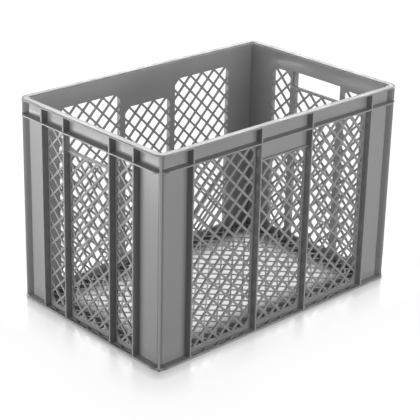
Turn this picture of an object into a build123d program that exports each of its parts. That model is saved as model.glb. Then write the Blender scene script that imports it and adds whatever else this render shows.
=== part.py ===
from build123d import *
import math
import os

# A ventilated stacking crate for fruit and vegetables, moulded in grey plastic.
# The origin is the middle of the footprint on the floor: X runs along the crate, Y across it, Z up.
# The crate is one moulding, divided here into its rim, ribs, posts, wall panels, base and foot ledge,
# which meet face to face.

# Overall size, in millimetres
length = 600.0
width = 400.0
height = 400.0

# Walls and posts
wall_recess = 14.0
wall_thickness = 3.2
inner_corner_radius = 4.0
long_post_width = 76.0
end_post_width = 72.0
corner_fin_thickness = 4.2

# Ribs: the outer pair stands at the posts, the inner pair some grid modules from the middle
rib_thickness = 4.0
rib_setback = 1.5
rib_edge_cut = 0.8
long_wall_modules = 7
end_wall_modules = 4
middle_bay_half_modules = 2

# Rim
rim_height = 33.0
rim_top_thickness = 2.6
rim_flange_thickness = 3.0
rim_edge_cut = 2.0
stack_step_width = 3.6
stack_step_depth = 1.5

# Base and foot ledge
floor_thickness = 5.0
floor_border = 8.0
ledge_edge_width = 3.0
ledge_wall_strip = 2.0

# Diamond mesh and its windows
mesh_pitch = 32.0
strand_width = 3.8
window_side_margin = 6.6
window_top_margin = 4.5
window_foot_margin = 10.0
window_corner_cut = 7.0
smallest_gap = 3.5

# Hand holes in the end walls, and the plain field in the long walls
hand_bar_height = 5.0
hand_bar_depth = 4.0
hand_bar_round = 1.5
label_ledge_height = 3.0
label_ledge_depth = 4.0

# Sizes that follow
wall_inside = wall_recess + wall_thickness
corner_radius = wall_inside + inner_corner_radius
rim_bottom = height - rim_height
window_bottom = floor_thickness + window_foot_margin
window_top = rim_bottom - window_top_margin
middle_window_top = window_top - mesh_pitch
hand_hole_bottom = middle_window_top + hand_bar_height
outer_rib = {"long": length / 2 - long_post_width, "end": width / 2 - end_post_width}
module = {"long": outer_rib["long"] / long_wall_modules, "end": outer_rib["end"] / end_wall_modules}
inner_rib = {kind: middle_bay_half_modules * module[kind] for kind in module}


class Wall:
    """One side of the crate. Its own frame has x along the wall, y in from the envelope and z up."""

    def __init__(self, name, outward, reach, run, kind, low_end, high_end):
        self.name = name
        self.run = run
        self.kind = kind
        self.low_end = low_end
        self.high_end = high_end
        out = Vector(*outward)
        up = Vector(0, 0, 1)
        self.frame = Plane(origin=out * reach, x_dir=up.cross(out), z_dir=up)

    def place(self, shape):
        return self.frame.location * shape

    def ribs(self):
        outer = outer_rib[self.kind]
        inner = inner_rib[self.kind]
        return [-outer, -inner, inner, outer]

    def bays(self):
        """Each bay between two ribs, from end to end, with its name."""
        ribs = self.ribs()
        return zip((self.low_end, "middle", self.high_end), ribs[:-1], ribs[1:])


walls = [
    Wall("front", (0, -1, 0), width / 2, length, "long", "left", "right"),
    Wall("rear", (0, 1, 0), width / 2, length, "long", "right", "left"),
    Wall("left", (-1, 0, 0), length / 2, width, "end", "rear", "front"),
    Wall("right", (1, 0, 0), length / 2, width, "end", "front", "rear"),
]


# Diamond mesh: gaps between leaning strands, as convex polygons cut from a window's outline
def clip(points, a, b, limit):
    """Keeps the part of a convex polygon where a * x + b * y is at most the limit."""
    kept = []
    for here, there in zip(points, points[1:] + points[:1]):
        over_here = a * here[0] + b * here[1] - limit
        over_there = a * there[0] + b * there[1] - limit
        if over_here <= 0:
            kept.append(here)
        if over_here * over_there < 0:
            share = over_here / (over_here - over_there)
            kept.append(tuple(p + share * (q - p) for p, q in zip(here, there)))
    return kept


def area(points):
    pairs = zip(points, points[1:] + points[:1])
    return abs(sum(p[0] * q[1] - q[0] * p[1] for p, q in pairs)) / 2


class Mesh:
    """Strands that cross on a row at the given height, half a pitch to either side of the middle."""

    def __init__(self, pitch_along, pitch_up, row):
        self.pitch_along = pitch_along
        self.pitch_up = pitch_up
        self.row = row
        strand_spacing = 1 / math.hypot(1 / pitch_along, 1 / pitch_up)
        self.half_gap = 0.5 - strand_width / (2 * strand_spacing)

    def gaps(self, outline, lean):
        """The gaps between neighbouring strands that all lean one way: 1 to the right, -1 to the left."""
        across = (-lean / self.pitch_along, 1 / self.pitch_up)
        start = self.row / self.pitch_up
        places = [across[0] * x + across[1] * y - start for x, y in outline]
        found = []
        for number in range(math.floor(min(places)), math.ceil(max(places)) + 1):
            middle = start + number
            below = clip(outline, *across, middle + self.half_gap)
            gap = clip(below, -across[0], -across[1], self.half_gap - middle)
            if len(gap) > 2 and area(gap) > smallest_gap**2:
                found.append(gap)
        return found

    def diamonds(self, outline):
        """The gaps between both sets of strands at once."""
        return [diamond for gap in self.gaps(outline, 1) for diamond in self.gaps(gap, -1)]


def window(left, right, bottom, top, cut):
    """A window's outline, with its corners cut off."""
    return [
        (left + cut, bottom),
        (right - cut, bottom),
        (right, bottom + cut),
        (right, top - cut),
        (right - cut, top),
        (left + cut, top),
        (left, top - cut),
        (left, bottom + cut),
    ]


def pierced_plate(outline, gaps, thickness):
    holes = [Wire.make_polygon(gap, close=True) for gap in gaps]
    return extrude(Face(outline, holes), amount=thickness, dir=(0, 0, 1))


def crossed_plate(outline, mesh, opening, thickness):
    """A mesh plate in two layers in contact, whose strands lean opposite ways."""
    layer = thickness / 2
    right_leaning = pierced_plate(outline, mesh.gaps(opening, 1), layer)
    left_leaning = pierced_plate(outline, mesh.gaps(opening, -1), layer)
    return [right_leaning, Pos(0, 0, layer) * left_leaning]


# Wall panels, one for each bay, drawn in elevation and set on the inside face of the wall
elevation = Plane(origin=(0, wall_inside, 0), x_dir=(1, 0, 0), z_dir=(0, -1, 0)).location


def panel_heights(wall, bay):
    """The top of a bay's window and of its panel: a hand hole or a plain field lies above a middle window."""
    if bay != "middle":
        return window_top, rim_bottom
    return middle_window_top, hand_hole_bottom if wall.kind == "end" else rim_bottom


def wall_panel(wall, bay, left, right):
    opening_top, panel_top = panel_heights(wall, bay)
    middle = Pos((left + right) / 2, (floor_thickness + panel_top) / 2)
    outline = (middle * Rectangle(right - left, panel_top - floor_thickness)).wire()
    opening = window(
        left + window_side_margin,
        right - window_side_margin,
        window_bottom,
        opening_top,
        window_corner_cut,
    )
    mesh = Mesh(module[wall.kind], mesh_pitch, window_top)
    layers = crossed_plate(outline, mesh, opening, wall_thickness)
    return [wall.place(elevation * layer) for layer in layers]


# Upright ribs between the foot ledge and the rim
def rib(wall, place):
    depth = wall_recess - rib_setback
    plan = Pos(place, rib_setback + depth / 2) * Rectangle(rib_thickness, depth)
    outer_corners = plan.vertices().sort_by(Axis.Y)[:2]
    plan = chamfer(outer_corners, min(rib_edge_cut, 0.45 * rib_thickness))
    upright = extrude(plan, amount=rim_bottom - floor_thickness, dir=(0, 0, 1))
    return wall.place(Pos(0, 0, floor_thickness) * upright)


# Bars across a middle bay, on the outer face of the wall between its inner ribs
def bay_bar(wall, bottom, bar_height, bar_depth, round_radius):
    run = 2 * inner_rib[wall.kind] - rib_thickness
    bar = Box(run, bar_depth, bar_height)
    bar = Pos(0, wall_recess - bar_depth / 2, bottom + bar_height / 2) * bar
    if round_radius:
        outer_edges = bar.edges().filter_by(Axis.X).sort_by(Axis.Y)[:2]
        bar = fillet(outer_edges, min(round_radius, 0.45 * bar_height))
    return wall.place(bar)


# Corners, drawn at the rear right about the centre of its rounding, with the wall runs as x and y
corner_place = Pos(length / 2 - corner_radius, width / 2 - corner_radius)
corner_runs = (long_post_width - corner_radius, end_post_width - corner_radius)
corners = {
    "rear_right": [],
    "rear_left": [Plane.YZ],
    "front_right": [Plane.XZ],
    "front_left": [Plane.YZ, Plane.XZ],
}


def corner_band(outer_depth, inner_depth):
    """The plan of a band that turns a corner between two depths in from the envelope."""
    outer = corner_radius - outer_depth
    inner = corner_radius - inner_depth
    run_x, run_y = corner_runs
    edges = [
        CenterArc((0, 0), outer, 0, 90),
        Polyline((0, outer), (-run_x, outer), (-run_x, inner), (0, inner)),
        CenterArc((0, 0), inner, 0, 90),
        Polyline((inner, 0), (inner, -run_y), (outer, -run_y), (outer, 0)),
    ]
    return make_face(edges)


def corner_fin(low, high):
    """The diagonal fin of a corner, from the outer face of the wall to the rounded envelope."""
    reach = corner_radius - rib_setback
    blade = Pos(reach / 2, 0) * Rectangle(reach, corner_fin_thickness)
    plan = (Rot(0, 0, 45) * blade & Circle(reach)) - Circle(corner_radius - wall_recess)
    return Pos(0, 0, low) * extrude(plan, amount=high - low, dir=(0, 0, 1))


def corner_post():
    band = extrude(corner_band(wall_recess, wall_inside), amount=rim_bottom - floor_thickness, dir=(0, 0, 1))
    return Pos(0, 0, floor_thickness) * band + corner_fin(floor_thickness, rim_bottom)


def foot_corner():
    return extrude(corner_band(0, wall_recess), amount=floor_thickness, dir=(0, 0, 1))


def rim_corner():
    section = Plane(origin=(corner_radius, 0, 0), x_dir=(-1, 0, 0), z_dir=(0, 1, 0)).location * rim_section()
    channel = revolve(section, Axis.Z, revolution_arc=90)
    return channel + corner_fin(rim_bottom + rim_flange_thickness, height - rim_top_thickness)


def at_corner(shape, mirrors):
    shape = corner_place * shape
    for plane in mirrors:
        shape = mirror(shape, about=plane)
    return shape


# Rim: a channel open to the outside, with a step inside its top edge where the next crate settles
def rim_section():
    """The section of the rim, with x as the distance in from the envelope and y as the height."""
    step_start = wall_inside - stack_step_width
    edge_cut = min(rim_edge_cut, 0.8 * rim_top_thickness)
    outline = Polyline(
        (edge_cut, height),
        (step_start, height),
        (step_start, height - stack_step_depth),
        (wall_inside, height - stack_step_depth),
        (wall_inside, rim_bottom),
        (0, rim_bottom),
        (0, rim_bottom + rim_flange_thickness),
        (wall_recess, rim_bottom + rim_flange_thickness),
        (wall_recess, height - rim_top_thickness),
        (0, height - rim_top_thickness),
        (0, height - edge_cut),
        close=True,
    )
    return make_face(outline)


def rim_side(wall):
    run = wall.run - 2 * corner_radius
    section = Plane(origin=(-run / 2, 0, 0), x_dir=(0, 1, 0), z_dir=(1, 0, 0)).location * rim_section()
    channel = extrude(section, amount=run, dir=(1, 0, 0))
    low = rim_bottom + rim_flange_thickness
    high = height - rim_top_thickness
    depth = wall_recess - rib_setback
    short_rib = Pos(0, rib_setback + depth / 2, (low + high) / 2) * Box(rib_thickness, depth, high - low)
    for place in wall.ribs():
        channel += Pos(place) * short_rib
    return wall.place(channel)


# Foot ledge: a flat truss from the base out to the envelope, solid under the ribs
def foot_ledge(wall):
    ribs = wall.ribs()
    outline = (Pos(0, wall_recess / 2) * Rectangle(ribs[-1] - ribs[0], wall_recess)).wire()
    inner_line = wall_recess - ledge_wall_strip
    truss = Mesh(module[wall.kind], 2 * (inner_line - ledge_edge_width), inner_line)
    gaps = []
    for left, right in zip(ribs[:-1], ribs[1:]):
        start = left + window_side_margin
        end = right - window_side_margin
        strip = [(start, ledge_edge_width), (end, ledge_edge_width), (end, inner_line), (start, inner_line)]
        gaps += truss.diamonds(strip)
    return wall.place(pierced_plate(outline, gaps, floor_thickness))


# Base: the same mesh laid flat inside the walls, with a plain border under them
def base_grid():
    run = length - 2 * wall_recess
    span = width - 2 * wall_recess
    outline = RectangleRounded(run, span, corner_radius - wall_recess).wire()
    half_run = run / 2 - floor_border
    half_span = span / 2 - floor_border
    opening = window(-half_run, half_run, -half_span, half_span, window_corner_cut)
    mesh = Mesh(module["long"], module["end"], module["end"] / 2)
    return crossed_plate(outline, mesh, opening, floor_thickness)


# The crate, node by node
nodes = {"base_grid": base_grid()}
for wall in walls:
    nodes[f"foot_ledge_{wall.name}"] = [foot_ledge(wall)]
    nodes[f"rim_{wall.name}"] = [rim_side(wall)]
    for number, place in enumerate(wall.ribs(), start=1):
        nodes[f"rib_{wall.name}_{number}"] = [rib(wall, place)]
    for bay, left, right in wall.bays():
        nodes[f"panel_{wall.name}_{bay}"] = wall_panel(wall, bay, left, right)
    if wall.kind == "end":
        bar = bay_bar(wall, middle_window_top, hand_bar_height, hand_bar_depth, hand_bar_round)
        nodes[f"hand_bar_{wall.name}"] = [bar]
    else:
        ledge = bay_bar(wall, middle_window_top, label_ledge_height, label_ledge_depth, 0)
        nodes[f"label_ledge_{wall.name}"] = [ledge]
for corner, mirrors in corners.items():
    nodes[f"foot_corner_{corner}"] = [at_corner(foot_corner(), mirrors)]
    nodes[f"corner_post_{corner}"] = [at_corner(corner_post(), mirrors)]
    nodes[f"rim_corner_{corner}"] = [at_corner(rim_corner(), mirrors)]

os.makedirs("parts", exist_ok=True)
for name, shapes in nodes.items():
    solids = [solid for shape in shapes for solid in shape.solids()]
    export_step(solids[0] if len(solids) == 1 else Compound(solids), f"parts/{name}.step")
volume = sum(solid.volume for shapes in nodes.values() for shape in shapes for solid in shape.solids())
print(f"{len(nodes)} nodes, {volume / 1000:.0f} cubic centimetres of plastic")
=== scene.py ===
import bmesh
import bpy
import math
from mathutils import Matrix, Vector


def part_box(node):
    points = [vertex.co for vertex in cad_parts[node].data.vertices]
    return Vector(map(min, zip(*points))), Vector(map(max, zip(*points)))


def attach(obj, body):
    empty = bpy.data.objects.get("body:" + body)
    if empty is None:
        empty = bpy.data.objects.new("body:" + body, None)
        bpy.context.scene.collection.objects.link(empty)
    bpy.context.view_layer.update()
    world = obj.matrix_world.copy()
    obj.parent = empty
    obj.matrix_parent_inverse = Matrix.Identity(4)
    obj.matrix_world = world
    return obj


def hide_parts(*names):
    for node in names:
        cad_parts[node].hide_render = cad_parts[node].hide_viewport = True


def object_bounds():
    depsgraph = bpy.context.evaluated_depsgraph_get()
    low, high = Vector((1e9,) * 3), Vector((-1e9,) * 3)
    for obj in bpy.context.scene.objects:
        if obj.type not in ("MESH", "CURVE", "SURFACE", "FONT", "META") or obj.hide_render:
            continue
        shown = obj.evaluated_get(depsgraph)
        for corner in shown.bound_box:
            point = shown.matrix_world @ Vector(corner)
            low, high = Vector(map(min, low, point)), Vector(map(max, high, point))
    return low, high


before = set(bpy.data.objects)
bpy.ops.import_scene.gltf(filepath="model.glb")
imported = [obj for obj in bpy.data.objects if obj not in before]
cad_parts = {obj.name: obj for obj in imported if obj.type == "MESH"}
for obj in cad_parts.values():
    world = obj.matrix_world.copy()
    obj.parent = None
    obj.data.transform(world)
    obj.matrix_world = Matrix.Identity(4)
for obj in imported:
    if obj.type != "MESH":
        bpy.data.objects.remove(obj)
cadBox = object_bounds()
print("frame loaded:", len(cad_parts), "nodes")

mm = 0.001
tiny = 0.01 * mm
body = "root"

# sizes that several pieces share
crate = {
    "half": (Vector(cadBox[1]) - Vector(cadBox[0])) / 2,
    "wall": 3.2 * mm,
    "outerCorner": 21.2 * mm,
    "postCorner": 7.2 * mm,
}

# each wall is modelled lying flat: x along it, y up the wall, z outwards from the crate's middle
wallTurn = {"front": 0, "right": 90, "rear": 180, "left": 270}
wallKind = {"front": "long", "rear": "long", "left": "end", "right": "end"}


def standing(wall):
    turn = math.radians(wallTurn[wall])
    return Matrix.Rotation(turn, 4, "Z") @ Matrix.Rotation(math.radians(90), 4, "X")


def wallBox(node, wall):
    back = standing(wall).inverted()
    one, two = (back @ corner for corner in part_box(node))
    return Vector(map(min, one, two)), Vector(map(max, one, two))


def camel(node):
    first, *rest = node.split("_")
    return first + "".join(word.capitalize() for word in rest)


# mesh tools

def editMode(on):
    bpy.ops.object.mode_set(mode="EDIT" if on else "OBJECT")


def pick(kind, rule):
    bpy.ops.mesh.select_mode(type=kind)
    bpy.ops.mesh.select_all(action="DESELECT")
    shape = bmesh.from_edit_mesh(bpy.context.object.data)
    parts = {"VERT": shape.verts, "EDGE": shape.edges, "FACE": shape.faces}[kind]
    found = [part for part in parts if rule(part)]
    for part in found:
        part.select_set(True)
    bmesh.update_edit_mesh(bpy.context.object.data)
    return len(found)


def edgeMiddle(edge):
    return (edge.verts[0].co + edge.verts[1].co) / 2


def isSharp(edge, degrees=30):
    return len(edge.link_faces) == 2 and edge.calc_face_angle(0.0) > math.radians(degrees)


def outwardNormals():
    bpy.ops.mesh.select_all(action="SELECT")
    bpy.ops.mesh.normals_make_consistent(inside=False)


# pulls the flat shape in edit mode into a solid
def pullSolid(move):
    bpy.ops.mesh.select_all(action="SELECT")
    bpy.ops.mesh.extrude_region_move(TRANSFORM_OT_translate={"value": move})
    outwardNormals()


# draws a closed flat outline point by point and fills it; leaves the face in edit mode
def drawOutline(name, points):
    bpy.ops.object.select_all(action="DESELECT")
    bpy.ops.mesh.primitive_plane_add(size=0.01)
    piece = bpy.context.object
    piece.name = name
    piece.data.name = name
    editMode(True)
    bpy.ops.mesh.merge(type="CENTER")
    bpy.ops.mesh.select_all(action="SELECT")
    bpy.ops.transform.translate(value=points[0])
    for here, there in zip(points, points[1:]):
        bpy.ops.mesh.extrude_vertices_move(TRANSFORM_OT_translate={"value": Vector(there) - Vector(here)})
    bpy.ops.mesh.select_all(action="SELECT")
    bpy.ops.mesh.edge_face_add()
    return piece


# rounds the outline's corners that lie at the given points
def roundCorners(points, radius, segments):
    pick("VERT", lambda vert: any((vert.co - Vector(point)).length < tiny for point in points))
    bpy.ops.mesh.bevel(affect="VERTICES", offset=radius, segments=segments, clamp_overlap=True)


def bevelEdges(rule, width, segments=2):
    if pick("EDGE", lambda edge: isSharp(edge) and rule(edgeMiddle(edge))):
        bpy.ops.mesh.bevel(affect="EDGES", offset=width, segments=segments, clamp_overlap=True)


def makeActive(piece, *others):
    bpy.ops.object.select_all(action="DESELECT")
    for part in (piece, *others):
        part.select_set(True)
    bpy.context.view_layer.objects.active = piece


def placed(piece, matrix):
    makeActive(piece)
    piece.matrix_world = matrix
    bpy.ops.object.transform_apply(location=True, rotation=True, scale=True)
    if matrix.determinant() < 0:
        editMode(True)
        outwardNormals()
        editMode(False)
    return piece


def copied(piece, name):
    makeActive(piece)
    bpy.ops.object.duplicate()
    twin = bpy.context.object
    twin.name = name
    twin.data.name = name
    return twin


def joined(piece, *others):
    makeActive(piece, *others)
    bpy.ops.object.join()
    return piece


def dropped(piece):
    mesh = piece.data
    bpy.data.objects.remove(piece)
    bpy.data.meshes.remove(mesh)


# shader tools

vectorSocket = "NodeSocketVector"
numberSocket = "NodeSocketFloat"


# a value is a number, a colour or another node's output
def feed(tree, socket, value):
    if isinstance(value, bpy.types.NodeSocket):
        tree.links.new(value, socket)
    else:
        socket.default_value = value


def addNode(tree, kind, inputs, operation=None):
    node = tree.nodes.new(kind)
    if operation:
        node.operation = operation
    for key, value in inputs.items():
        feed(tree, node.inputs[key], value)
    return node.outputs


def maths(tree, operation, *values):
    return addNode(tree, "ShaderNodeMath", dict(enumerate(values)), operation)["Value"]


def vectors(tree, operation, *values):
    outputs = addNode(tree, "ShaderNodeVectorMath", dict(enumerate(values)), operation)
    return outputs["Value" if operation == "LENGTH" else "Vector"]


def split(tree, value):
    return addNode(tree, "ShaderNodeSeparateXYZ", {"Vector": value})


def noise(tree, spot, size, detail, roughness):
    inputs = {"Vector": spot, "Scale": size, "Detail": detail, "Roughness": roughness}
    return addNode(tree, "ShaderNodeTexNoise", inputs)["Fac"]


# turns a value that runs from low to high into one that runs from start to end
def ranged(tree, value, low, high, start=0, end=1, smooth=False):
    node = tree.nodes.new("ShaderNodeMapRange")
    node.interpolation_type = "SMOOTHSTEP" if smooth else "LINEAR"
    names = ("Value", "From Min", "From Max", "To Min", "To Max")
    for name, amount in zip(names, (value, low, high, start, end)):
        feed(tree, node.inputs[name], amount)
    return node.outputs["Result"]


def mixColours(tree, share, first, second):
    node = tree.nodes.new("ShaderNodeMix")
    node.data_type = "RGBA"
    sockets = {socket.identifier: socket for socket in node.inputs}
    feed(tree, sockets["Factor_Float"], share)
    feed(tree, sockets["A_Color"], first)
    feed(tree, sockets["B_Color"], second)
    return next(socket for socket in node.outputs if socket.identifier == "Result_Color")


# an empty group with named sockets, and its two ends
def startGroup(name, inputs, outputs):
    group = bpy.data.node_groups.new(name, "ShaderNodeTree")
    for socket, kind in inputs.items():
        group.interface.new_socket(socket, in_out="INPUT", socket_type=kind)
    for socket in outputs:
        group.interface.new_socket(socket, in_out="OUTPUT", socket_type=numberSocket)
    return group, group.nodes.new("NodeGroupInput").outputs, group.nodes.new("NodeGroupOutput").inputs


def placeGroup(tree, group, inputs):
    node = tree.nodes.new("ShaderNodeGroup")
    node.node_tree = group
    for name, value in inputs.items():
        feed(tree, node.inputs[name], value)
    return node.outputs


# plastic: one grey, with faint flow tones, scuffs where crates touch, painted shade on faces looking up and
# in corner hollows, a painted highlight on the fins' ends and a fine moulded grain

plastic = {
    "colour": (0.346, 0.346, 0.346, 1),
    "flowColour": (0.316, 0.316, 0.316, 1),
    # the lighter grey marks real scuffs and also paints a highlight on the fins' ends; the darker grey paints
    # shade
    "scuffColour": (0.475, 0.475, 0.475, 1),
    "soilColour": (0.168, 0.168, 0.168, 1),
    "scuffAmount": 0.3,
    # how strongly the fin-end highlight, the shade on faces looking up and the shade in corner hollows are
    # painted
    "finWear": 0.6,
    "soilAmount": 0.5,
    "recessAmount": 0.75,
    "roughness": 0.27,
    "roughnessSpread": 0.1,
    "flowGloss": 0.4,
    "specular": 0.5,
}

flowTone = {"size": 9, "upStretch": 0.3, "spread": (0.32, 0.68)}


# slow darker and lighter drifts, drawn out upwards as the melt runs up the walls
def makeFlowTone():
    group, taken, given = startGroup("flowTone", {"Spot": vectorSocket, "Size": numberSocket}, ["Mask"])
    stretched = vectors(group, "MULTIPLY", taken["Spot"], (1, 1, flowTone["upStretch"]))
    drift = noise(group, stretched, taken["Size"], detail=3, roughness=0.55)
    feed(group, given["Mask"], ranged(group, drift, *flowTone["spread"]))
    return group


scuff = {"size": 55, "depth": 2.2 * mm, "spread": (0.48, 0.66)}


# broken marks on whatever lies within a small depth of the crate's outer box
def makeScuffs():
    inputs = {"Spot": vectorSocket, "Half Size": vectorSocket, "Depth": numberSocket, "Size": numberSocket}
    group, taken, given = startGroup("contactScuffs", inputs, ["Mask"])
    centred = vectors(group, "SUBTRACT", taken["Spot"], (0, 0, crate["half"].z))
    folded = vectors(group, "ABSOLUTE", centred)
    inside = split(group, vectors(group, "SUBTRACT", taken["Half Size"], folded))
    least = maths(group, "MINIMUM", maths(group, "MINIMUM", inside["X"], inside["Y"]), inside["Z"])
    near = ranged(group, least, 0, taken["Depth"], 1, 0)
    marks = noise(group, taken["Spot"], taken["Size"], detail=6, roughness=0.7)
    broken = ranged(group, marks, *scuff["spread"])
    feed(group, given["Mask"], maths(group, "MULTIPLY", near, broken))
    return group


upFilmShade = {
    "size": 28,
    "upward": (0.6, 0.95),
    "spread": (0.35, 0.7),
    "least": 0.25,
    "endsAt": (385 * mm, 392 * mm),
}


# a thin uneven film on faces that look up, and painted shade that darkens the faces looking up below the
# rim's top
def makeUpFilmShade():
    inputs = {"Spot": vectorSocket, "Normal": vectorSocket, "Size": numberSocket}
    group, taken, given = startGroup("settledSoil", inputs, ["Film", "Soil"])
    upward = ranged(group, split(group, taken["Normal"])["Z"], *upFilmShade["upward"])
    below = ranged(group, split(group, taken["Spot"])["Z"], *upFilmShade["endsAt"], 1, 0)
    patches = noise(group, taken["Spot"], taken["Size"], detail=4, roughness=0.6)
    uneven = ranged(group, patches, *upFilmShade["spread"], upFilmShade["least"])
    feed(group, given["Film"], maths(group, "MULTIPLY", upward, uneven))
    # painted shade: faces looking up get darker, all but the rim's top
    feed(group, given["Soil"], maths(group, "MULTIPLY", upward, below))
    return group


# depths are measured outwards from where the corner starts to turn
cornerMarks = {
    "hollowFrom": (-0.5 * mm, 1.5 * mm),
    "hollowTo": (8 * mm, 11 * mm),
    "finEnd": (11.6 * mm, 12.4 * mm),
    "endsAt": (392 * mm, 396 * mm),
}


# painted shade in the hollows beside the corner fins, and a painted highlight on the fins' ends
def makeCornerShading():
    inputs = {"Spot": vectorSocket, "Turn Start": vectorSocket}
    group, taken, given = startGroup("cornerMarks", inputs, ["Recess", "Wear"])
    folded = vectors(group, "ABSOLUTE", taken["Spot"])
    past = split(group, vectors(group, "SUBTRACT", folded, taken["Turn Start"]))
    depth = maths(group, "MINIMUM", past["X"], past["Y"])
    starts = ranged(group, depth, *cornerMarks["hollowFrom"])
    stops = ranged(group, depth, *cornerMarks["hollowTo"], 1, 0)
    # painted highlight along the fins' ends
    atFinEnd = ranged(group, depth, *cornerMarks["finEnd"])
    below = ranged(group, past["Z"], *cornerMarks["endsAt"], 1, 0)
    # painted shade in the hollows beside the fins
    hollow = maths(group, "MULTIPLY", starts, stops)
    feed(group, given["Recess"], maths(group, "MULTIPLY", hollow, below))
    feed(group, given["Wear"], maths(group, "MULTIPLY", atFinEnd, below))
    return group


grain = {"size": 1900, "waveSize": 24, "waveShare": 6, "height": 0.012 * mm}


# the fine grain of an eroded mould over the faint waves of cooled walls
def makeGrain():
    inputs = {"Spot": vectorSocket, "Grain Size": numberSocket, "Wave Size": numberSocket}
    group, taken, given = startGroup("mouldGrain", inputs, ["Height"])
    fine = noise(group, taken["Spot"], taken["Grain Size"], detail=2, roughness=0.5)
    wave = noise(group, taken["Spot"], taken["Wave Size"], detail=1, roughness=0.4)
    feed(group, given["Height"], maths(group, "MULTIPLY_ADD", wave, grain["waveShare"], fine))
    return group


def makePlastic():
    material = bpy.data.materials.new("cratePlastic")
    material.use_nodes = True
    tree = material.node_tree
    shader = tree.nodes["Principled BSDF"]
    shader.inputs["Specular IOR Level"].default_value = plastic["specular"]
    spot = addNode(tree, "ShaderNodeTexCoord", {})["Object"]
    facing = addNode(tree, "ShaderNodeNewGeometry", {})["Normal"]
    half = crate["half"]
    turn = crate["outerCorner"]
    turnStart = (half.x - turn, half.y - turn, 0)
    flow = placeGroup(tree, makeFlowTone(), {"Spot": spot, "Size": flowTone["size"]})
    scuffInputs = {"Spot": spot, "Half Size": half, "Depth": scuff["depth"], "Size": scuff["size"]}
    scuffs = placeGroup(tree, makeScuffs(), scuffInputs)
    upFaces = placeGroup(tree, makeUpFilmShade(), {"Spot": spot, "Normal": facing, "Size": upFilmShade["size"]})
    corner = placeGroup(tree, makeCornerShading(), {"Spot": spot, "Turn Start": turnStart})
    grainInputs = {"Spot": spot, "Grain Size": grain["size"], "Wave Size": grain["waveSize"]}
    height = placeGroup(tree, makeGrain(), grainInputs)["Height"]

    colour = mixColours(tree, flow["Mask"], plastic["colour"], plastic["flowColour"])
    # real scuffs, then a painted highlight on the fins' ends, painted shade on faces looking up and painted
    # shade in the corner hollows
    for mask, amount, tint in (
        (scuffs["Mask"], "scuffAmount", "scuffColour"),
        (corner["Wear"], "finWear", "scuffColour"),
        (upFaces["Soil"], "soilAmount", "soilColour"),
        (corner["Recess"], "recessAmount", "soilColour"),
    ):
        share = maths(tree, "MULTIPLY", mask, plastic[amount])
        colour = mixColours(tree, share, colour, plastic[tint])

    # matter where filmed or scuffed, glossier along the flow lines
    matter = maths(tree, "ADD", scuffs["Mask"], upFaces["Film"])
    uneven = maths(tree, "SUBTRACT", matter, maths(tree, "MULTIPLY", flow["Mask"], plastic["flowGloss"]))
    rough = maths(tree, "MULTIPLY_ADD", uneven, plastic["roughnessSpread"], plastic["roughness"])
    bumpInputs = {"Strength": 1, "Distance": grain["height"], "Height": height}
    feed(tree, shader.inputs["Base Color"], colour)
    feed(tree, shader.inputs["Roughness"], rough)
    feed(tree, shader.inputs["Normal"], addNode(tree, "ShaderNodeBump", bumpInputs)["Normal"])
    return material


cratePlastic = makePlastic()
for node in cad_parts.values():
    node.data.materials.clear()
    node.data.materials.append(cratePlastic)
print("plastic made")

smoothAngle = math.radians(32)


# gives a finished piece its shading, plastic and body, and hides the node it stands for
def finishPiece(piece, node):
    makeActive(piece)
    bpy.ops.object.shade_smooth_by_angle(angle=smoothAngle)
    piece.data.materials.clear()
    piece.data.materials.append(cratePlastic)
    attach(piece, body)
    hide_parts(node)


# diamond mesh

meshWall = {
    "pitch": 32 * mm,
    "strand": 3.9 * mm,
    "sideMargin": 6.6 * mm,
    "footMargin": 7 * mm,
    "topMargin": 4.5 * mm,
    "middleDrop": 32 * mm,
    "cornerRadius": 12 * mm,
    "cornerChords": 4,
    "topRound": 1.2 * mm,
    "edgeRound": 0.3 * mm,
}


# a flat sheet from low to high at the level of the outer face
def startSheet(name, low, high, level):
    bpy.ops.object.select_all(action="DESELECT")
    spot = ((low[0] + high[0]) / 2, (low[1] + high[1]) / 2, level)
    bpy.ops.mesh.primitive_plane_add(size=1, location=spot)
    piece = bpy.context.object
    piece.name = name
    piece.data.name = name
    piece.scale = (high[0] - low[0], high[1] - low[1], 1)
    bpy.ops.object.transform_apply(location=True, rotation=True, scale=True)
    editMode(True)
    return piece


def sliceFlat(point, normal):
    bpy.ops.mesh.bisect(plane_co=(*point, 0), plane_no=(*normal, 0), threshold=0.0005 * mm)


# a window is (left, bottom, right, top), cut in the sheet with strands across it
def inWindow(window, spot, spare=0.0):
    left, bottom, right, top = window
    across = left - spare < spot.x < right + spare
    return across and bottom - spare < spot.y < top + spare


def cutWindow(window):
    left, bottom, right, top = window
    sides = [((x, 0), (1, 0)) for x in (left, right)] + [((0, y), (0, 1)) for y in (bottom, top)]
    for point, normal in sides:
        bpy.ops.mesh.select_all(action="SELECT")
        sliceFlat(point, normal)


# cuts along both edges of all strands of one lean: normal is square to them, start is one strand's middle
def cutStrands(window, normal, spacing, start, width):
    left, bottom, right, top = window
    reach = [normal[0] * x + normal[1] * y for x in (left, right) for y in (bottom, top)]
    first = math.floor((min(reach) - start) / spacing)
    last = math.ceil((max(reach) - start) / spacing)
    for number in range(first, last + 1):
        for side in (-0.5, 0.5):
            place = start + number * spacing + side * width
            if not min(reach) < place < max(reach):
                continue
            pick("FACE", lambda face: inWindow(window, face.calc_center_median()))
            sliceFlat((normal[0] * place, normal[1] * place), normal)


def onStrand(spot, normal, spacing, start, width):
    place = (normal[0] * spot.x + normal[1] * spot.y - start) / spacing
    return abs(place - round(place)) * spacing < width / 2


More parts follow.
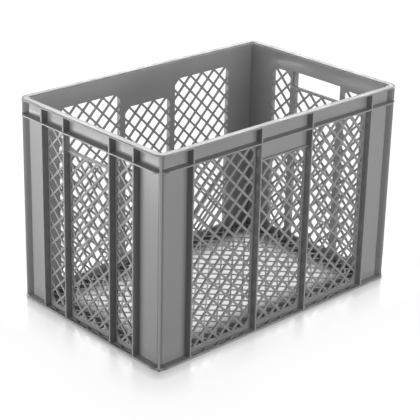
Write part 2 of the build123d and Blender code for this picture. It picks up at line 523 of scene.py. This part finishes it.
def cornerCentres(window, radius):
    left, bottom, right, top = window
    for x, sideX in ((left, -1), (right, 1)):
        for y, sideY in ((bottom, -1), (top, 1)):
            yield Vector((x - sideX * radius, y - sideY * radius)), sideX, sideY


# cuts each window corner along the chords of its rounding
def cutCorners(window, radius, chords):
    for centre, sideX, sideY in cornerCentres(window, radius):
        for number in range(chords):
            angle = math.radians(90 * (number + 0.5) / chords)
            normal = Vector((sideX * math.cos(angle), sideY * math.sin(angle)))
            reach = radius * math.cos(math.radians(45 / chords))
            pick("FACE", lambda face: inCorner(window, face.calc_center_median(), radius))
            sliceFlat(centre + normal * reach, normal)


# the faces that a corner's chords may cut, a little more than its square
def inCorner(window, spot, radius):
    spare = -0.3 * radius
    for centre, sideX, sideY in cornerCentres(window, radius):
        if (spot.x - centre.x) * sideX > spare and (spot.y - centre.y) * sideY > spare:
            return inWindow(window, spot)
    return False


# false in the solid beyond a corner's chords, which run just inside its arc
def inRounding(window, spot, radius):
    chordReach = radius * 0.97
    for centre, sideX, sideY in cornerCentres(window, radius):
        away = Vector((spot.x, spot.y)) - centre
        if away.x * sideX > 0 and away.y * sideY > 0:
            return away.length < chordReach
    return True


# turns a sheet into a pierced plate of the given thickness, below its outer face
def pierce(windows, strands, thickness, radius):
    for window in windows:
        cutWindow(window)
        for strand in strands:
            cutStrands(window, *strand)
        if radius:
            cutCorners(window, radius, meshWall["cornerChords"])

    def isGap(face):
        spot = face.calc_center_median()
        window = next((w for w in windows if inWindow(w, spot)), None)
        if window is None or any(onStrand(spot, *strand) for strand in strands):
            return False
        return not radius or inRounding(window, spot, radius)

    pick("FACE", isGap)
    bpy.ops.mesh.delete(type="FACE")
    pullSolid((0, 0, -thickness))
    bevelEdges(lambda spot: any(inWindow(w, spot, tiny) for w in windows), meshWall["edgeRound"], 1)


# two sets of strands that cross on the row, half a pitch to either side of the middle
def crossedStrands(pitchAlong, pitchUp, row, width):
    steep = math.hypot(1 / pitchAlong, 1 / pitchUp)
    start = (row / pitchUp + 0.5) / steep
    strands = []
    for lean in (1, -1):
        normal = (lean / pitchAlong / steep, 1 / pitchUp / steep)
        strands.append((normal, 1 / steep, start, width))
    return strands


def makePanel(node, wall):
    low, high = wallBox(node, wall)
    side = meshWall["sideMargin"]
    rimBottom = wallBox(f"rim_{wall}", wall)[0].y
    row = rimBottom - meshWall["topMargin"]
    top = row - meshWall["middleDrop"] if node.endswith("middle") else row
    window = (low.x + side, low.y + meshWall["footMargin"], high.x - side, top)
    sheet = startSheet(camel(f"master_{node}"), low, high, high.z)
    strands = crossedStrands(meshWall["pitch"], meshWall["pitch"], row, meshWall["strand"])
    pierce([window], strands, high.z - low.z, meshWall["cornerRadius"])

    def onTop(spot):
        return spot.y > high.y - tiny and low.x < spot.x < high.x

    if high.y < rimBottom:
        bevelEdges(onTop, meshWall["topRound"], 3)
    editMode(False)
    return sheet


def makePanels():
    masters = {
        ("long", "outer"): ("panel_front_left", "front"),
        ("long", "middle"): ("panel_front_middle", "front"),
        ("end", "outer"): ("panel_right_front", "right"),
        ("end", "middle"): ("panel_right_middle", "right"),
    }
    for (kind, place), (masterNode, masterWall) in masters.items():
        master = makePanel(masterNode, masterWall)
        start = wallBox(masterNode, masterWall)[0].x
        for wall in wallTurn:
            for node in [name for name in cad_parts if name.startswith(f"panel_{wall}_")]:
                if wallKind[wall] != kind or node.endswith("middle") != (place == "middle"):
                    continue
                shift = Matrix.Translation((wallBox(node, wall)[0].x - start, 0, 0))
                finishPiece(placed(copied(master, camel(node)), standing(wall) @ shift), node)
        dropped(master)
    print("mesh panels made")


makePanels()

# base

base = {"border": 8 * mm, "bar": 3.2 * mm, "thickness": 2 * mm}


def makeBasePlate(name, level, thickness, strands):
    low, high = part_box("base_grid")
    border = base["border"]
    sheet = startSheet(name, low, high, level)
    bpy.ops.mesh.select_all(action="SELECT")
    bpy.ops.mesh.bevel(affect="VERTICES", offset=crate["postCorner"], segments=6)
    window = (low.x + border, low.y + border, high.x - border, high.y - border)
    pierce([window], strands, thickness, meshWall["cornerRadius"])
    editMode(False)
    return sheet


# a thin grid on a plain border that goes down to the floor
def makeBase():
    low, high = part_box("base_grid")
    pitch = meshWall["pitch"]
    strands = crossedStrands(pitch, pitch, pitch / 2, base["bar"])
    grid = makeBasePlate("baseGrid", high.z, base["thickness"], strands)
    borderTop = high.z - base["thickness"]
    border = makeBasePlate("baseBorder", borderTop, borderTop - low.z, [])
    finishPiece(joined(grid, border), "base_grid")
    print("base made")


makeBase()

# foot truss

foot = {
    "outerStrip": 3 * mm,
    "wallStrip": 2 * mm,
    "edgeRound": 0.5 * mm,
    "soleRound": 2.4 * mm,
}


def ribPlaces(wall):
    boxes = [wallBox(f"rib_{wall}_{number}", wall) for number in (1, 2, 3, 4)]
    return sorted((low.x + high.x) / 2 for low, high in boxes)


# lies as the front ledge does: x along, y inwards, z up
def makeFootLedge(wall):
    low, high = wallBox(f"foot_ledge_{wall}", wall)
    edge = -high.z
    sheet = startSheet(camel(f"master_foot_{wall}"), (low.x, edge), (high.x, -low.z), high.y)
    outer = edge + foot["outerStrip"]
    inner = -low.z - foot["wallStrip"]
    side = meshWall["sideMargin"]
    places = ribPlaces(wall)
    windows = [(one + side, outer, two - side, inner) for one, two in zip(places, places[1:])]
    strands = crossedStrands(meshWall["pitch"], 2 * (inner - outer), inner, meshWall["strand"])
    pierce(windows, strands, high.y - low.y, 0)

    def onEdge(spot, level):
        return spot.y < edge + tiny and low.x < spot.x < high.x and abs(spot.z - level) < tiny

    bevelEdges(lambda spot: onEdge(spot, low.y), foot["soleRound"], 4)
    bevelEdges(lambda spot: onEdge(spot, high.y), foot["edgeRound"])
    editMode(False)
    return sheet


def makeFootLedges():
    for one, two in (("front", "rear"), ("right", "left")):
        master = makeFootLedge(one)
        for wall in (one, two):
            node = f"foot_ledge_{wall}"
            turn = Matrix.Rotation(math.radians(wallTurn[wall]), 4, "Z")
            finishPiece(placed(copied(master, camel(node)), turn), node)
        dropped(master)
    print("foot ledges made")


makeFootLedges()

# ribs

rib = {"rootHalf": 2 * mm, "edgeHalf": 1.8 * mm, "setback": 1.5 * mm, "edgeRound": 0.8 * mm, "sunk": 0.2 * mm}


# an upright rib between two heights, rooted in the outer face of the wall
def makeRib(name, place, bottom, top, wallFace, reach):
    root = wallFace - rib["sunk"]
    plan = [
        (place - rib["rootHalf"], bottom, root),
        (place - rib["edgeHalf"], bottom, reach),
        (place + rib["edgeHalf"], bottom, reach),
        (place + rib["rootHalf"], bottom, root),
    ]
    piece = drawOutline(name, plan)
    roundCorners(plan[1:3], rib["edgeRound"], 3)
    pullSolid((0, top - bottom, 0))
    editMode(False)
    return piece


def makeRibs():
    for one, two in (("front", "rear"), ("right", "left")):
        low, high = wallBox(f"rib_{one}_1", one)
        start = (low.x + high.x) / 2
        master = makeRib("masterRib", start, low.y, high.y, low.z, high.z)
        for wall in (one, two):
            for number in (1, 2, 3, 4):
                node = f"rib_{wall}_{number}"
                box = wallBox(node, wall)
                shift = Matrix.Translation(((box[0].x + box[1].x) / 2 - start, 0, 0))
                finishPiece(placed(copied(master, camel(node)), standing(wall) @ shift), node)
        dropped(master)
    print("ribs made")


makeRibs()

# rim

rim = {
    "topThickness": 2.6 * mm,
    "flangeThickness": 3 * mm,
    "stepWidth": 3.6 * mm,
    "stepDepth": 1.5 * mm,
    "stepRound": 0.4 * mm,
    "topRound": 2 * mm,
    "lipRound": 0.5 * mm,
    "edgeRound": 0.8 * mm,
    "rootRound": 1.6 * mm,
    "cornerSteps": 12,
}


# the rim's section across a wall, at the given place along it
def drawRimSection(name, place, low, high):
    wallFace = low.z + crate["wall"]
    stepFace = low.z + rim["stepWidth"]
    stepLevel = high.y - rim["stepDepth"]
    underTop = high.y - rim["topThickness"]
    onFlange = low.y + rim["flangeThickness"]
    outline = [
        (place, high.y, high.z),
        (place, high.y, stepFace),
        (place, stepLevel, stepFace),
        (place, stepLevel, low.z),
        (place, low.y, low.z),
        (place, low.y, high.z),
        (place, onFlange, high.z),
        (place, onFlange, wallFace),
        (place, underTop, wallFace),
        (place, underTop, high.z),
    ]
    piece = drawOutline(name, outline)
    roundCorners([outline[0]], rim["topRound"], 5)
    roundCorners([outline[9]], rim["lipRound"], 2)
    roundCorners([outline[1], outline[3]], rim["stepRound"], 2)
    roundCorners([outline[5], outline[6]], rim["edgeRound"], 3)
    roundCorners([outline[7], outline[8]], rim["rootRound"], 4)
    return piece


# from where to where an upright stands in the channel, a little sunk in both flanges
def channelSpan(low, high):
    return low.y + rim["flangeThickness"] - rib["sunk"], high.y - rim["topThickness"] + rib["sunk"]


def makeRimSide(wall):
    low, high = wallBox(f"rim_{wall}", wall)
    side = drawRimSection(camel(f"master_rim_{wall}"), low.x, low, high)
    pullSolid((high.x - low.x, 0, 0))
    editMode(False)
    bottom, top = channelSpan(low, high)
    wallFace = low.z + crate["wall"]
    reach = high.z - rib["setback"]
    stubs = [makeRib(camel(f"stub_{wall}"), place, bottom, top, wallFace, reach) for place in ribPlaces(wall)]
    return joined(side, *stubs)


def makeRimSides():
    for one, two in (("front", "rear"), ("right", "left")):
        master = makeRimSide(one)
        for wall in (one, two):
            finishPiece(placed(copied(master, camel(f"rim_{wall}")), standing(wall)), f"rim_{wall}")
        dropped(master)
    print("rim sides made")


makeRimSides()

# corners, modelled at the front right in the front wall's own frame

fin = {"half": 2.1 * mm, "edgeRound": 1 * mm}
mirrorOf = {
    "front_right": Matrix.Identity(4),
    "front_left": Matrix.Scale(-1, 4, (1, 0, 0)),
    "rear_right": Matrix.Scale(-1, 4, (0, 1, 0)),
    "rear_left": Matrix.Scale(-1, 4, (1, 0, 0)) @ Matrix.Scale(-1, 4, (0, 1, 0)),
}

# the outer box's corner, the middle of the rounding, and the post's outer faces
tip = wallBox("rim_corner_front_right", "front")[1]
turnX = tip.x - crate["outerCorner"]
turnZ = tip.z - crate["outerCorner"]
postX = turnX + crate["postCorner"]
postZ = turnZ + crate["postCorner"]


# a blade set out at 45 degrees from the middle of the corner's rounding
def makeFin(name, bottom, top):
    slant = math.sqrt(0.5)
    start = crate["postCorner"] - rib["sunk"]
    reach = crate["outerCorner"] - rib["setback"]
    plan = []
    for along, across in ((start, -1), (reach, -1), (reach, 1), (start, 1)):
        spread = across * fin["half"]
        plan.append((turnX + slant * (along - spread), bottom, turnZ + slant * (along + spread)))
    piece = drawOutline(name, plan)
    roundCorners(plan[1:3], fin["edgeRound"], 3)
    pullSolid((0, top - bottom, 0))
    editMode(False)
    return piece


def copyToCorners(master, kind):
    for corner, mirror in mirrorOf.items():
        node = f"{kind}_{corner}"
        finishPiece(placed(copied(master, camel(node)), mirror @ standing("front")), node)
    dropped(master)


def makePosts():
    low, high = wallBox("corner_post_front_right", "front")
    wall = crate["wall"]
    plan = [
        (low.x, low.y, postZ),
        (postX, low.y, postZ),
        (postX, low.y, low.z),
        (postX - wall, low.y, low.z),
        (postX - wall, low.y, postZ - wall),
        (low.x, low.y, postZ - wall),
    ]
    post = drawOutline("masterPost", plan)
    roundCorners([plan[1]], crate["postCorner"], 6)
    roundCorners([plan[4]], crate["postCorner"] - wall, 5)
    pullSolid((0, high.y - low.y, 0))
    editMode(False)
    copyToCorners(joined(post, makeFin("postFin", low.y, high.y)), "corner_post")


def makeFootCorners():
    low, high = wallBox("foot_corner_front_right", "front")
    chordSag = 0.3 * mm
    plan = [
        (low.x, low.y, tip.z),
        (tip.x, low.y, tip.z),
        (tip.x, low.y, low.z),
        (postX, low.y, low.z),
        (postX, low.y, postZ),
        (low.x, low.y, postZ),
    ]
    sole = drawOutline("masterFoot", plan)
    roundCorners([plan[1]], crate["outerCorner"], 10)
    roundCorners([plan[4]], crate["postCorner"], 6)
    pullSolid((0, high.y - low.y, 0))

    def onOutside(spot, level):
        depth = min(tip.x - spot.x, tip.z - spot.z)
        if spot.x > turnX and spot.z > turnZ:
            depth = crate["outerCorner"] - math.hypot(spot.x - turnX, spot.z - turnZ)
        return depth < chordSag and abs(spot.y - level) < tiny

    bevelEdges(lambda spot: onOutside(spot, low.y), foot["soleRound"], 4)
    bevelEdges(lambda spot: onOutside(spot, high.y), foot["edgeRound"])
    editMode(False)
    copyToCorners(sole, "foot_corner")


def makeRimCorners():
    low, high = wallBox("rim_front", "front")
    ring = drawRimSection("masterRimCorner", high.x, low, high)
    bpy.ops.mesh.select_all(action="SELECT")
    middle = (turnX, 0, turnZ)
    bpy.ops.mesh.spin(steps=rim["cornerSteps"], angle=math.radians(-90), center=middle, axis=(0, 1, 0))
    bpy.ops.mesh.select_all(action="SELECT")
    bpy.ops.mesh.remove_doubles(threshold=0.1 * tiny)
    outwardNormals()
    editMode(False)
    copyToCorners(joined(ring, makeFin("rimFin", *channelSpan(low, high))), "rim_corner")


makePosts()
makeFootCorners()
makeRimCorners()
print("corners made")

# bars across the middle bays

bar = {"handRound": 1.8 * mm, "ledgeRound": 0.8 * mm}


def makeBar(node, wall, rounding):
    low, high = wallBox(node, wall)
    section = [(low.x, low.y, low.z), (low.x, low.y, high.z), (low.x, high.y, high.z), (low.x, high.y, low.z)]
    piece = drawOutline(camel(node), section)
    roundCorners(section[1:3], rounding, 4)
    pullSolid((high.x - low.x, 0, 0))
    editMode(False)
    finishPiece(placed(piece, standing(wall)), node)


for wall in ("left", "right"):
    makeBar(f"hand_bar_{wall}", wall, bar["handRound"])
for wall in ("front", "rear"):
    makeBar(f"label_ledge_{wall}", wall, bar["ledgeRound"])
print("bars made")

# camera at the photograph's viewing angle

view = {
    "place": (-1.7181, -1.8275, 1.2274),
    "yaw": 43.225,
    "pitch": 21.913,
    "roll": 1.358,
    "lens": 121.956,
    "shift": -0.0667,
}


def makeCamera():
    data = bpy.data.cameras.new("photoCamera")
    data.lens = view["lens"]
    data.sensor_width = 36
    data.shift_y = view["shift"]
    data.dof.use_dof = False
    camera = bpy.data.objects.new("photoCamera", data)
    bpy.context.scene.collection.objects.link(camera)
    turn = Matrix.Rotation(math.radians(-view["yaw"]), 4, "Z")
    tilt = Matrix.Rotation(math.radians(90 - view["pitch"]), 4, "X")
    roll = Matrix.Rotation(math.radians(view["roll"]), 4, "Z")
    camera.matrix_world = Matrix.Translation(view["place"]) @ turn @ tilt @ roll
    bpy.context.scene.camera = camera


makeCamera()

# floor and light

# lengths are metres from the crate's outline, inwards for those named under and rise, else outwards
stageLook = {
    "floorSize": 14,
    "floorLevel": -0.0005,
    "floorColour": (0.1, 0.1, 0.1, 1),
    "bounceColour": (0.3, 0.3, 0.3, 1),
    "overlap": 0.005,
    "glowNear": 0.9,
    "glowReach": 0.5,
    "contactShade": 0.6,
    "contactReach": 0.025,
    "underEdge": 0.01,
    "underMiddle": 0.74,
    "underDark": 0.045,
    "underBright": 0.105,
    "mirrorShare": 0.25,
    "mirrorReach": 0.1,
    "mirrorRoughness": 0.32,
    "riseGlow": 0.7,
    "riseStart": 0.02,
    "riseFull": 0.15,
    "ambient": 0.045,
}

# each softbox stands at a bearing and height angle from the crate's middle and faces it
lamps = [
    {"name": "leftBox", "bearing": 170, "height": 16, "away": 2, "wide": 0.8, "tall": 0.6, "power": 11.6},
    {"name": "leftStrip", "bearing": 146, "height": -4, "away": 1.8, "wide": 1.2, "tall": 0.14, "power": 10},
    {"name": "frontBox", "bearing": 300, "height": 3, "away": 2, "wide": 0.6, "tall": 0.6, "power": 4},
    {"name": "fillBox", "bearing": 276, "height": 19, "away": 2.4, "wide": 1.2, "tall": 1.2, "power": 24.5},
    {"name": "rightBox", "bearing": 0, "height": 17, "away": 2.4, "wide": 1.2, "tall": 1.2, "power": 32},
    {"name": "rearBox", "bearing": 90, "height": 17, "away": 2.4, "wide": 1.2, "tall": 1.2, "power": 32},
    {"name": "backStrip", "bearing": 47, "height": 25, "away": 2.4, "wide": 1.3, "tall": 0.6, "power": 14},
]

# a lit stretch of floor at the left, which lights the end wall from below
floorGlow = {"place": (-1.32, 0.48, 0.01), "size": 0.9, "power": 9.4}


# 1 where the camera sees a surface, straight or in a reflection
def seenDirectly(tree):
    path = addNode(tree, "ShaderNodeLightPath", {})
    straight = maths(tree, "MAXIMUM", path["Is Camera Ray"], path["Is Glossy Ray"])
    return maths(tree, "MAXIMUM", straight, path["Is Transmission Ray"])


def mixShaders(tree, share, first, second):
    return addNode(tree, "ShaderNodeMixShader", {0: share, 1: first, 2: second})["Shader"]


def addShaders(tree, first, second):
    return addNode(tree, "ShaderNodeAddShader", {0: first, 1: second})["Shader"]


def glowing(tree, strength):
    return addNode(tree, "ShaderNodeEmission", {"Strength": strength})["Emission"]


def diffuse(tree, colour):
    return addNode(tree, "ShaderNodeBsdfDiffuse", {"Color": colour})["BSDF"]


def makeFloorLook():
    look = stageLook
    material = bpy.data.materials.new("paleFloor")
    material.use_nodes = True
    tree = material.node_tree
    tree.nodes.clear()
    spot = addNode(tree, "ShaderNodeTexCoord", {})["Object"]
    footprint = (crate["half"].x, crate["half"].y, 1)
    past = vectors(tree, "SUBTRACT", vectors(tree, "ABSOLUTE", spot), footprint)
    away = vectors(tree, "LENGTH", vectors(tree, "MAXIMUM", past, (0, 0, 0)))
    sides = split(tree, past)
    edge = maths(tree, "MAXIMUM", sides["X"], sides["Y"])
    outside = maths(tree, "GREATER_THAN", edge, -look["overlap"])

    # seen by the camera: pale all round and a little dimmer near the crate, with a painted contact shadow
    # where it touches and painted shade under its walls that lightens towards the middle
    glow = ranged(tree, away, 0, look["glowReach"], look["glowNear"], 1)
    contact = ranged(tree, away, 0, look["contactReach"], look["contactShade"], 1)
    around = maths(tree, "MULTIPLY", glow, contact)
    underFade = (-look["underBright"], -look["underDark"], look["underMiddle"], look["underEdge"])
    under = ranged(tree, edge, *underFade, smooth=True)
    shown = addNode(tree, "ShaderNodeMix", {"Factor": outside, "A": under, "B": around})["Result"]
    lit = addShaders(tree, glowing(tree, shown), diffuse(tree, look["floorColour"]))

    # beside the crate it mirrors the foot
    mirrorInputs = {"Color": (1, 1, 1, 1), "Roughness": look["mirrorRoughness"]}
    mirror = addNode(tree, "ShaderNodeBsdfGlossy", mirrorInputs)["BSDF"]
    fade = ranged(tree, away, 0, look["mirrorReach"], look["mirrorShare"], 0, smooth=True)
    seen = mixShaders(tree, maths(tree, "MULTIPLY", fade, outside), lit, mirror)

    # not seen, it sends light up through the base
    rise = ranged(tree, edge, -look["riseFull"], -look["riseStart"], look["riseGlow"], 0)
    unseen = addShaders(tree, diffuse(tree, look["bounceColour"]), glowing(tree, rise))
    surface = mixShaders(tree, seenDirectly(tree), unseen, seen)
    addNode(tree, "ShaderNodeOutputMaterial", {"Surface": surface})
    return material


def makeFloor():
    bpy.ops.object.select_all(action="DESELECT")
    bpy.ops.mesh.primitive_plane_add(size=stageLook["floorSize"], location=(0, 0, stageLook["floorLevel"]))
    floor = bpy.context.object
    floor.name = "floor"
    floor.data.materials.append(makeFloorLook())


def makeWorld():
    world = bpy.data.worlds.new("studio")
    world.use_nodes = True
    tree = world.node_tree
    background = tree.nodes["Background"].inputs
    background["Color"].default_value = (1, 1, 1, 1)
    feed(tree, background["Strength"], ranged(tree, seenDirectly(tree), 0, 1, stageLook["ambient"], 1))
    bpy.context.scene.world = world


def addLamp(name, wide, tall, power, place, turn):
    data = bpy.data.lights.new(name, "AREA")
    data.shape = "RECTANGLE"
    data.size = wide
    data.size_y = tall
    data.energy = power
    light = bpy.data.objects.new(name, data)
    light.location = place
    light.rotation_euler = turn
    bpy.context.scene.collection.objects.link(light)


def makeLamps():
    aim = Vector((0, 0, crate["half"].z))
    for lamp in lamps:
        bearing = math.radians(lamp["bearing"])
        height = math.radians(lamp["height"])
        flat = math.cos(height)
        way = Vector((flat * math.cos(bearing), flat * math.sin(bearing), math.sin(height)))
        turn = way.to_track_quat("Z", "Y").to_euler()
        addLamp(lamp["name"], lamp["wide"], lamp["tall"], lamp["power"], aim + way * lamp["away"], turn)
    size = floorGlow["size"]
    addLamp("floorGlow", size, size, floorGlow["power"], floorGlow["place"], (math.pi, 0, 0))


makeFloor()
makeWorld()
makeLamps()
bpy.context.scene.view_settings.view_transform = "Standard"
print("stage made")
